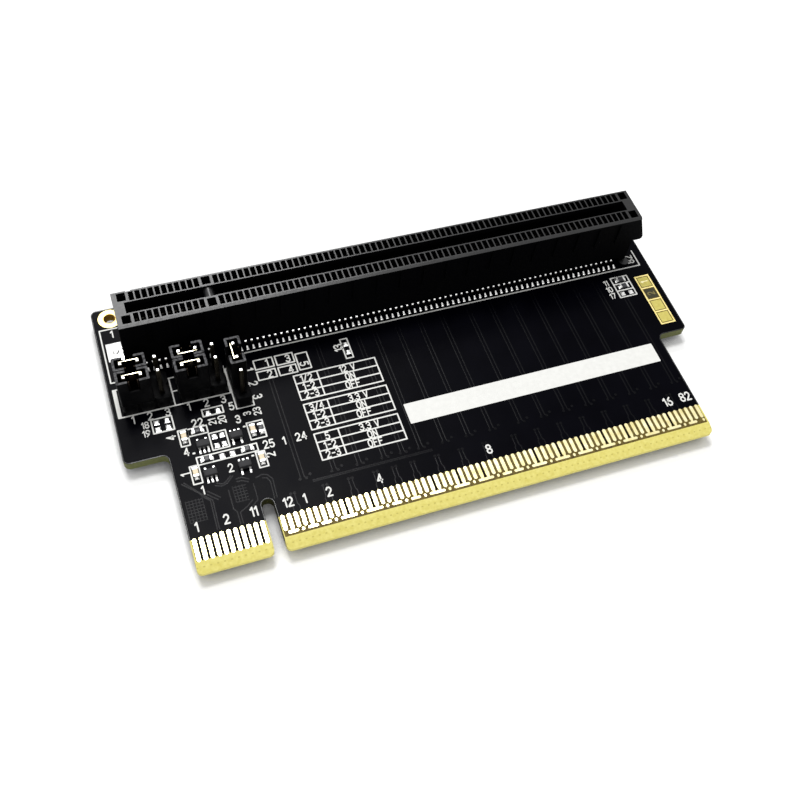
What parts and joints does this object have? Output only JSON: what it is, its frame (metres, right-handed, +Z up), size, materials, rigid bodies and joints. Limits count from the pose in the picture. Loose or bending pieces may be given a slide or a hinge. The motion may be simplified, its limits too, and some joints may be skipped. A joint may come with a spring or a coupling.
{
  "type": "expansion slot adapter card",
  "caption": "Flat black adapter card that carries an upright card slot over its gold edge connector, with jumper headers that set how the lanes are passed on.",
  "frame": {"origin": "centre of the card's outline, level with the lowest points of the header pins", "axes": "+X along the card edge from its first contact to its last, +Y from the edge fingers towards the card slot, +Z up from the board's component side"},
  "size_m": [0.0964, 0.0496, 0.0141],
  "materials": {
    "board_laminate": "semi-gloss black solder mask over glass-epoxy laminate",
    "bare_laminate": "bare glass-epoxy laminate, translucent yellow",
    "gold_plating": "smooth gold plating on copper",
    "slot_moulding": "fine-textured black moulded plastic",
    "contact_metal": "plated copper alloy, tinned solder feet",
    "tab_metal": "tinned brass sheet, satin",
    "header_moulding": "satin black moulded plastic",
    "header_pin_metal": "plated square brass wire",
    "cap_moulding": "semi-gloss black moulded plastic",
    "clip_metal": "plated spring strip",
    "chip_moulding": "matte black epoxy",
    "lead_metal": "tinned leads, satin",
    "capacitor_ceramic": "tan fired ceramic",
    "resistor_glaze": "black glaze over ceramic",
    "terminal_metal": "tinned end terminals",
    "solder": "bright reflowed solder"
  },
  "bodies": {
    "root": {"circuit_board": "board_laminate", "hole_rings": "gold_plating", "edge_fingers_top": "gold_plating", "edge_fingers_bottom": "gold_plating", "layer_window_frame": "gold_plating", "layer_windows": "bare_laminate", "slot_housing": "slot_moulding", "slot_contacts_front": "contact_metal", "slot_contacts_rear": "contact_metal", "hold_down_left": "tab_metal", "hold_down_right": "tab_metal", "header_block_a": "header_moulding", "header_block_b": "header_moulding", "header_block_c": "header_moulding", "header_pins_a": "header_pin_metal", "header_pins_b": "header_pin_metal", "header_pins_c": "header_pin_metal", "jumper_cap_1": "cap_moulding", "jumper_cap_2": "cap_moulding", "jumper_cap_3": "cap_moulding", "jumper_cap_4": "cap_moulding", "jumper_cap_5": "cap_moulding", "jumper_clip_1": "clip_metal", "jumper_clip_2": "clip_metal", "jumper_clip_3": "clip_metal", "jumper_clip_4": "clip_metal", "jumper_clip_5": "clip_metal", "logic_chip_1": "chip_moulding", "logic_chip_2": "chip_moulding", "logic_chip_3": "chip_moulding", "logic_chip_4": "chip_moulding", "chip_leads_1": "lead_metal", "chip_leads_2": "lead_metal", "chip_leads_3": "lead_metal", "chip_leads_4": "lead_metal", "capacitor_1": "capacitor_ceramic", "capacitor_2": "capacitor_ceramic", "capacitor_3": "capacitor_ceramic", "capacitor_4": "capacitor_ceramic", "capacitor_terminals": "terminal_metal", "resistor_1": "resistor_glaze", "resistor_2": "resistor_glaze", "resistor_3": "resistor_glaze", "resistor_4": "resistor_glaze", "resistor_5": "resistor_glaze", "resistor_6": "resistor_glaze", "resistor_terminals": "terminal_metal", "solder_lands": "solder"}
  },
  "joints": []
}
